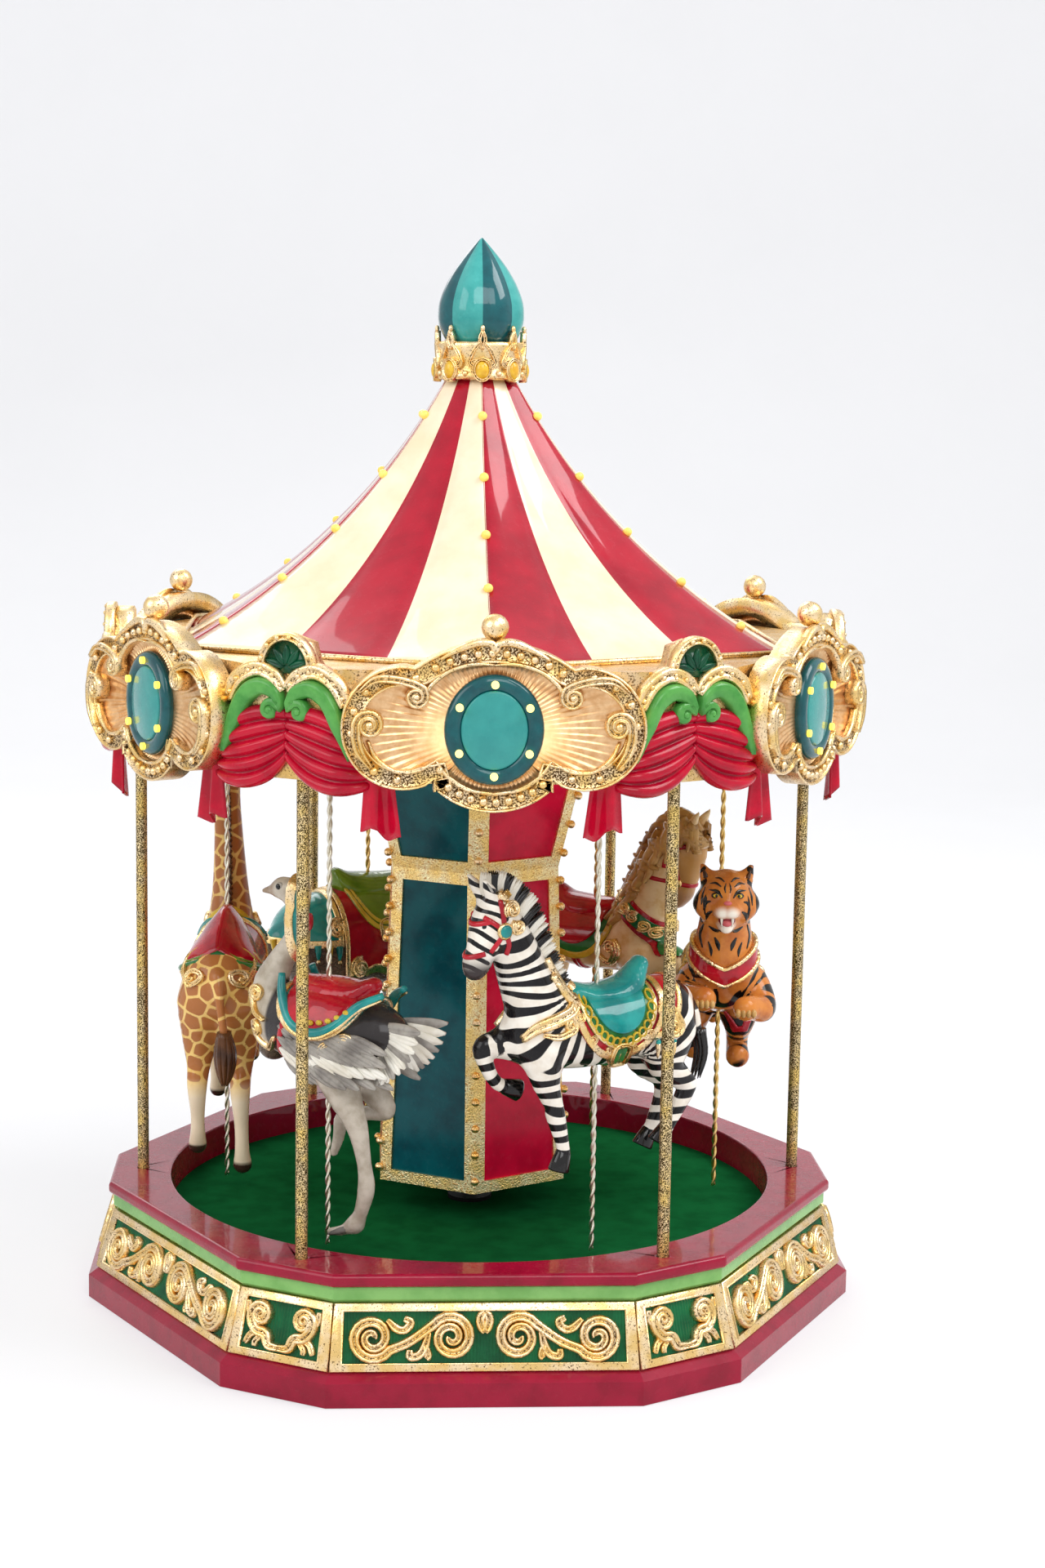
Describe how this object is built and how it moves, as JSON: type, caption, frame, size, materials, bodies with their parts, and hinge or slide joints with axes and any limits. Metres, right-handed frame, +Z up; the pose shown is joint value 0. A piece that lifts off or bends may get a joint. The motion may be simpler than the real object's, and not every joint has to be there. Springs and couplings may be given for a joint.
{
  "type": "carousel music box",
  "caption": "Lighted tabletop carousel music box: striped tent roof on slim columns over a motor-turned drum with painted animals on twisted rods.",
  "frame": {"origin": "on the turning axis at the foot of the plinth", "axes": "+Z up along the turning axis, -Y towards the front of the picture, +X to its right"},
  "size_m": [0.2914, 0.2792, 0.4],
  "materials": {
    "burgundy_lacquer": "gloss lacquer",
    "antique_gold": "speckled metallic gold paint",
    "light_green_paint": "satin paint",
    "floor_green": "satin paint",
    "black_plastic": "moulded, fine grain",
    "steel": "brushed",
    "cell_jacket": "printed jacket left plain",
    "board_green": "solder mask",
    "brass": "bright, slightly grained",
    "roof_red": "red and cream striped paint",
    "lamp_yellow": "clear yellow lamp",
    "lamp_lit": "clear warm lamp",
    "teal_gloss": "gloss paint",
    "panel_red": "gloss paint",
    "white_plastic": "moulded",
    "drape_crimson": "painted resin",
    "zebra_paint": "hand-painted resin",
    "ostrich_paint": "hand-painted resin",
    "giraffe_paint": "hand-painted resin",
    "elephant_paint": "hand-painted resin",
    "horse_paint": "hand-painted resin",
    "tiger_paint": "hand-painted resin"
  },
  "bodies": {
    "base": {"plinth": "burgundy_lacquer", "frieze_ring": "antique_gold", "green_moulding": "light_green_paint", "rim_ring": "burgundy_lacquer", "floor_disc": "floor_green", "bottom_cover": "black_plastic", "cover_screws": "steel", "battery_cells": "cell_jacket", "motor": "steel", "circuit_board": "board_green", "speaker": "black_plastic", "control_switches": "black_plastic", "lower_bush": "brass", "floor_bush": "brass", "top_bush": "brass", "column_1": "brass", "column_2": "brass", "column_3": "brass", "column_4": "brass", "column_5": "brass", "column_6": "brass", "canopy_ring": "antique_gold", "top_bridge": "steel", "roof_shell": "roof_red", "roof_bulbs": "lamp_yellow", "finial_crown": "antique_gold", "finial_dome": "teal_gloss", "finial_stud": "steel", "medallion_1": "antique_gold", "medallion_2": "antique_gold", "medallion_3": "antique_gold", "medallion_4": "antique_gold", "medallion_5": "antique_gold", "medallion_6": "antique_gold", "drape_1": "drape_crimson", "drape_2": "drape_crimson", "drape_3": "drape_crimson", "drape_4": "drape_crimson", "drape_5": "drape_crimson", "drape_6": "drape_crimson", "medallion_lamps": "lamp_lit"},
    "turning_set": {"main_shaft": "steel", "drive_gear": "white_plastic", "rod_carrier": "black_plastic", "hanger_rods": "brass", "rod_collars": "brass", "drum_frame": "antique_gold", "teal_panels": "teal_gloss", "red_panels": "panel_red", "zebra": "zebra_paint", "ostrich": "ostrich_paint", "giraffe": "giraffe_paint", "elephant": "elephant_paint", "horse": "horse_paint", "tiger": "tiger_paint"},
    "motor_pinion": {"pinion": "white_plastic"},
    "battery_hatch": {"battery_door": "black_plastic"},
    "switch": {"switch_knob": "black_plastic"},
    "button": {"tune_button": "black_plastic"}
  },
  "joints": [
    {"name": "carousel_spin", "type": "hinge", "parent": "base", "child": "turning_set", "pos_m": [0, 0, 0], "axis": [0, 0, 1], "continuous": true},
    {"name": "pinion_spin", "type": "hinge", "parent": "base", "child": "motor_pinion", "pos_m": [0, 0.04387, 0], "axis": [0, 0, 1], "continuous": true},
    {"name": "battery_door_slide", "type": "slide", "parent": "base", "child": "battery_hatch", "axis": [0, -1, 0], "range_m": [0, 0.009]},
    {"name": "power_switch_slide", "type": "slide", "parent": "base", "child": "switch", "axis": [1, 0, 0], "range_m": [0, 0.004]},
    {"name": "tune_button_press", "type": "slide", "parent": "base", "child": "button", "axis": [0, -1, 0], "range_m": [0, 0.001], "stiffness_N_per_m": 400, "springref_m": -0.001}
  ],
  "couplings": [
    {"joint": "pinion_spin", "follows": "carousel_spin", "ratio": -4}
  ]
}
